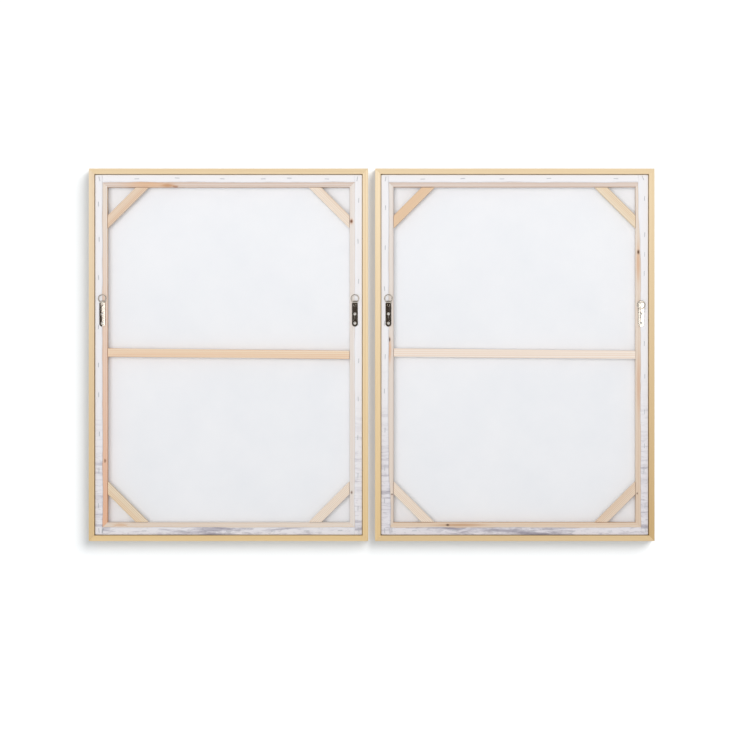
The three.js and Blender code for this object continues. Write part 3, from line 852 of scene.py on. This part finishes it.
def makeCanvas(panel):
    halfW, halfH = cloth["width"] / 2, cloth["height"] / 2
    columns, rows = foldLines(cloth["width"]), foldLines(cloth["height"])
    bm = bmesh.new()
    bmesh.ops.create_grid(bm, x_segments=len(columns) - 1, y_segments=len(rows) - 1, size=1)
    xs = sorted({round(v.co.x, 5) for v in bm.verts})
    ys = sorted({round(v.co.y, 5) for v in bm.verts})
    column = dict(zip(xs, columns))
    row = dict(zip(ys, rows))
    for v in bm.verts:
        v.co = (column[round(v.co.x, 5)], row[round(v.co.y, 5)], 0)
    corners = [
        f for f in bm.faces
        if abs(f.calc_center_median().x) > halfW and abs(f.calc_center_median().y) > halfH
    ]
    bmesh.ops.delete(bm, geom=corners, context="FACES")
    flatMap = bm.loops.layers.uv.new("flat")
    for f in bm.faces:
        for loop in f.loops:
            loop[flatMap].uv = (loop.vert.co.x * mm, loop.vert.co.y * mm)
    seams, near = [], cloth["near"]
    for v in bm.verts:
        u, w = v.co.x, v.co.y
        onSide = abs(abs(u) - halfW) < near and abs(w) > halfH - near
        onEnd = abs(abs(w) - halfH) < near and abs(u) > halfW - near
        if onSide or onEnd:
            seams.append(v)
        v.co = turnedPoint(panel, cloth["seeds"][panel], u, w)
    bmesh.ops.remove_doubles(bm, verts=seams, dist=cloth["seam"])
    bmesh.ops.reverse_faces(bm, faces=bm.faces)
    bmesh.ops.scale(bm, vec=(mm, mm, mm), verts=bm.verts)
    bmesh.ops.translate(bm, vec=(panelMiddles[panel], 0, panelHeightMiddle), verts=bm.verts)
    painted = paintedCanvas(f"paintedCanvas_{panel}", paintings[panel])
    raw = rawCanvas(f"rawCanvas_{panel}")
    canvas = pieceFrom(
        f"{panel}Canvas", bm, [painted, raw], f"{panel}_panel", [f"{panel}_canvas"], sharp=80,
        crisp=False,
    )
    thickness = canvas.modifiers.new("clothThickness", "SOLIDIFY")
    thickness.thickness = cloth["thick"] * mm
    thickness.offset = -1
    thickness.material_offset = 1
    thickness.material_offset_rim = 1


for panel in panelMiddles:
    makeCanvas(panel)
print("canvases: 2")


staple = {
    "crown": 10 * mm, "wide": 1.15 * mm, "thick": 0.6 * mm, "leg": 3 * mm, "back": 5.35 * mm,
    "cornerBack": 4.45 * mm, "inset": 7.2, "astray": 1.2, "askew": 4,
}
# Places along each side, in mm, and turned staples at the corners as (x, z, degrees from level).
stapleRows = {
    "left": {
        "top": [-505, -418, -321, -233, -177, -96],
        "left": [196, 120, 38, -68, -150, -214, -298, -378, -452],
        "right": [204, 116, 30, -60, -141, -223, -306, -387, -458],
        "bottom": [-489, -405, -308, -212, -140, -68],
        "corners": [(-586, -506, 84), (-578.5, -506, 96), (-28, -504, 80), (-31, 250, 100), (-585, 250, 75)],
    },
    "right": {
        "top": [110, 196, 280, 381, 525],
        "left": [188, 102, 14, -60, -132, -206, -290, -372, -442],
        "right": [208, 130, 88, 47, -32, -104, -174, -251, -324, -378, -453],
        "bottom": [92, 178, 262, 345, 428, 512],
        "corners": [(28, -506, 86), (43.5, -505, 92), (588, -504, 78), (583, 252, 68), (30, 250, 98)],
    },
}


def makeStaple():
    # A flat wire crown with two legs, level, with its legs pointing into the wood.
    shoulder = staple["crown"] / 2 - staple["thick"]
    bm = bmesh.new()
    bmesh.ops.create_cube(bm, size=1)
    bmesh.ops.scale(bm, vec=(staple["crown"], staple["thick"], staple["wide"]), verts=bm.verts)
    for end in (-1, 1):
        cutAcross(bm, (end * shoulder, 0, 0), (1, 0, 0))
    feet = [f for f in bm.faces if f.normal.y > 0.9 and abs(f.calc_center_median().x) > shoulder]
    for foot in feet:
        drawOut(bm, [foot], (0, staple["leg"], 0))
        bmesh.ops.delete(bm, geom=[foot], context="FACES_ONLY")
    bends = [
        e for e in bm.edges
        if all(abs(abs(v.co.x) - staple["crown"] / 2) < tiny and v.co.y < 0 for v in e.verts)
    ]
    bevelEdges(bm, bends, staple["thick"] * 0.8)
    bmesh.ops.recalc_face_normals(bm, faces=bm.faces)
    return bm


def joinInto(bm, other, matrix):
    bmesh.ops.transform(other, matrix=matrix, verts=other.verts)
    mesh = bpy.data.meshes.new("part")
    other.to_mesh(mesh)
    other.free()
    bm.from_mesh(mesh)
    bpy.data.meshes.remove(mesh)


def staplePlace(panel, side, mark):
    # Where a staple sits, in mm, how far it is turned, and how far from the wall side its crown lies.
    if side == "corners":
        return (*mark, staple["cornerBack"])
    astray, askew = draws.uniform(-1, 1) * staple["astray"], draws.uniform(-1, 1) * staple["askew"]
    if side in ("top", "bottom"):
        reach = cloth["height"] / 2 - staple["inset"]
        z = panelHeightMiddle / mm + reach * (1 if side == "top" else -1)
        return mark, z + astray, askew, staple["back"]
    reach = cloth["width"] / 2 - staple["inset"]
    x = panelMiddles[panel] / mm + reach * (1 if side == "right" else -1)
    return x + astray, mark, 90 + askew, staple["back"]


for panel in panelMiddles:
    places = [
        staplePlace(panel, side, mark) for side, marks in stapleRows[panel].items() for mark in marks
    ]
    bm = bmesh.new()
    for x, z, turn, back in places:
        turned = Matrix.Rotation(math.radians(turn), 4, "Y")
        joinInto(bm, makeStaple(), Matrix.Translation((x * mm, back, z * mm)) @ turned)
    pieceFrom(f"{panel}Staples", bm, [stapleWire], f"{panel}_panel")
    print(f"staples on the {panel} panel: {len(places)}")


hanger = {
    "hinge": (3.0 * mm, -14 * mm), "places": {"left": -271.5 * mm, "right": 271.5 * mm}, "edge": 0.22 * mm,
    "wire": 1.1 * mm, "ringRadius": 8.1 * mm, "ringRise": 7 * mm, "ringBar": 5.2 * mm, "cornerAngle": 35,
    "weldDrop": 7.2 * mm, "crown": 0.27 * mm, "halfWidth": 6.25 * mm, "curlEnd": 3 * mm, "crownFade": 5 * mm,
    "flatFrom": 12 * mm, "flatTo": 28 * mm, "cuts": 10, "ringSteps": 24,
    "screwDrops": {"upper": 26 * mm, "lower": 46 * mm}, "screwSeat": 4.2 * mm,
    "weld": [(0, -0.02), (1.2, -0.03), (1.8, -0.1), (2.1, -0.12), (2.5, -0.06), (2.8, 0.2), (0, 0.2)],
}


def spunBlank(profile, steps):
    # A profile of (radius, y) in mm that starts and ends on the y axis, spun about it.
    bm = bmesh.new()
    line = [bm.verts.new((radius * mm, y * mm, 0)) for radius, y in profile]
    edges = [bm.edges.new(pair) for pair in zip(line, line[1:])]
    bmesh.ops.spin(
        bm, geom=line + edges, cent=(0, 0, 0), axis=(0, 1, 0), angle=2 * math.pi, steps=steps, use_merge=True
    )
    bmesh.ops.remove_doubles(bm, verts=bm.verts, dist=tiny)
    bmesh.ops.recalc_face_normals(bm, faces=bm.faces)
    return bm


def strapFrom(node, x):
    # The stamped strap with its cut edges eased, crowned a little across, and the mark of its spot weld.
    bm = bmesh.new()
    bm.from_mesh(node.data)
    bmesh.ops.remove_doubles(bm, verts=bm.verts, dist=tiny)
    bmesh.ops.dissolve_limit(bm, angle_limit=math.radians(1), verts=bm.verts, edges=bm.edges)
    rims = [e for e in bm.edges if len(e.link_faces) == 2 and e.calc_face_angle() > math.radians(60)]
    bevelEdges(bm, rims, hanger["edge"], 2)
    for i in range(1, hanger["cuts"]):
        cutAcross(bm, (x + (2 * i / hanger["cuts"] - 1) * hanger["halfWidth"], 0, 0), (1, 0, 0))
    level = hanger["hinge"][1]
    for v in bm.verts:
        below = rise(level - hanger["curlEnd"] - v.co.z, hanger["crownFade"])
        v.co.y -= below * hanger["crown"] * (1 - ((v.co.x - x) / hanger["halfWidth"]) ** 2)
    skin = min(
        v.co.y for v in bm.verts
        if hanger["flatFrom"] < level - v.co.z < hanger["flatTo"]
        and abs(v.co.x - x) < hanger["halfWidth"] / 2
    )
    weld = spunBlank(hanger["weld"], 24)
    joinInto(bm, weld, Matrix.Translation((x, skin, level - hanger["weldDrop"])))
    bmesh.ops.recalc_face_normals(bm, faces=bm.faces)
    return bm


def makeRing(name, folded):
    # A ring of wire, straight where it passes through the curl of its strap.
    corner = math.radians(hanger["cornerAngle"])
    radius, bar = hanger["ringRadius"], hanger["ringBar"]
    points = []
    for i in range(hanger["ringSteps"] + 1):
        angle = -corner + (math.pi + 2 * corner) * i / hanger["ringSteps"]
        points.append((radius * math.cos(angle), hanger["ringRise"] + radius * math.sin(angle)))
    points += [(-bar, 0), (-bar / 3, 0), (bar / 3, 0), (bar, 0)]
    line = bpy.data.curves.new(name, "CURVE")
    line.dimensions = "3D"
    line.bevel_depth = hanger["wire"]
    line.bevel_resolution = 5
    line.resolution_u = 4
    bent = line.splines.new("BEZIER")
    bent.bezier_points.add(len(points) - 1)
    for point, (x, z) in zip(bent.bezier_points, points):
        point.co = (x, 0, -z if folded else z)
        point.handle_left_type = point.handle_right_type = "AUTO"
    bent.use_cyclic_u = True
    wire = bpy.data.objects.new(name + "Line", line)
    bpy.context.scene.collection.objects.link(wire)
    bpy.context.view_layer.update()
    mesh = bpy.data.meshes.new_from_object(wire.evaluated_get(bpy.context.evaluated_depsgraph_get()))
    bpy.data.objects.remove(wire)
    bm = bmesh.new()
    bm.from_mesh(mesh)
    bpy.data.meshes.remove(mesh)
    bmesh.ops.remove_doubles(bm, verts=bm.verts, dist=tiny)
    bmesh.ops.recalc_face_normals(bm, faces=bm.faces)
    return bm


screw = {
    "profile": [
        (0, -1.85), (1.2, -1.8), (2.2, -1.5), (2.9, -0.9), (3.2, -0.25), (3.2, 0), (1.5, 0), (1.5, 11),
        (0, 14),
    ],
    "blade": (3.4 * mm, 2.4 * mm, 0.75 * mm), "bladeTip": 0.35, "bladePlace": -1.6 * mm,
}


def makeScrew():
    # A pan head with a cross recess, lying along y with its head towards the wall.
    bm = spunBlank(screw["profile"], 32)
    head = bpy.data.objects.new("head", bpy.data.meshes.new("head"))
    bm.to_mesh(head.data)
    bm.free()
    bm = bmesh.new()
    for turn in (0, 90):
        blade = bmesh.new()
        bmesh.ops.create_cube(blade, size=1)
        bmesh.ops.scale(blade, vec=screw["blade"], verts=blade.verts)
        for v in blade.verts:
            if v.co.y > 0:
                v.co.x *= screw["bladeTip"]
        turned = Matrix.Rotation(math.radians(turn), 4, "Y")
        joinInto(bm, blade, Matrix.Translation((0, screw["bladePlace"], 0)) @ turned)
    cross = bpy.data.objects.new("cross", bpy.data.meshes.new("cross"))
    bm.to_mesh(cross.data)
    bm.free()
    for blank in (head, cross):
        bpy.context.scene.collection.objects.link(blank)
    cut = head.modifiers.new("recess", "BOOLEAN")
    cut.object = cross
    cut.operation = "DIFFERENCE"
    cut.solver = "EXACT"
    cut.use_self = True
    bpy.context.view_layer.update()
    mesh = bpy.data.meshes.new_from_object(head.evaluated_get(bpy.context.evaluated_depsgraph_get()))
    for blank in (head, cross):
        bpy.data.objects.remove(blank)
    return mesh


screwMesh = makeScrew()
hingeY, hingeZ = hanger["hinge"]
for panel in panelMiddles:
    for side, across in hanger["places"].items():
        name = f"{panel}_hanger_{side}"
        x = panelMiddles[panel] + across
        bm = strapFrom(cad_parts[f"{name}_strap"], x)
        nodes = [f"{name}_strap"]
        pieceFrom(f"{panel}Strap_{side}", bm, [nickelPlate], f"{panel}_panel", nodes, sharp=30)
        bm = makeRing(name, folded=name == "right_hanger_right")
        bmesh.ops.translate(bm, vec=(x, hingeY, hingeZ), verts=bm.verts)
        nodes = [f"{name}_ring"]
        pieceFrom(f"{panel}Ring_{side}", bm, [nickelPlate], f"{name}_ring", nodes, sharp=60)
        for place, drop in hanger["screwDrops"].items():
            bm = bmesh.new()
            bm.from_mesh(screwMesh)
            turned = Matrix.Rotation(math.radians(draws.uniform(0, 90)), 4, "Y")
            seat = Matrix.Translation((x, hanger["screwSeat"], hingeZ - drop))
            bmesh.ops.transform(bm, matrix=seat @ turned, verts=bm.verts)
            nodes = [f"{name}_screw_{place}"]
            pieceFrom(
                f"{panel}Screw_{side}_{place}", bm, [zincPlate], f"{panel}_panel", nodes, sharp=30
            )
bpy.data.meshes.remove(screwMesh)
print("hangers: 4 straps, 4 rings, 8 screws")


# The pins and corner nails keep their shapes.
for name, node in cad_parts.items():
    if "_pin_" in name or "_nail_" in name:
        node.data.materials.clear()
        node.data.materials.append(hardSteel)
print("pins and nails finished")
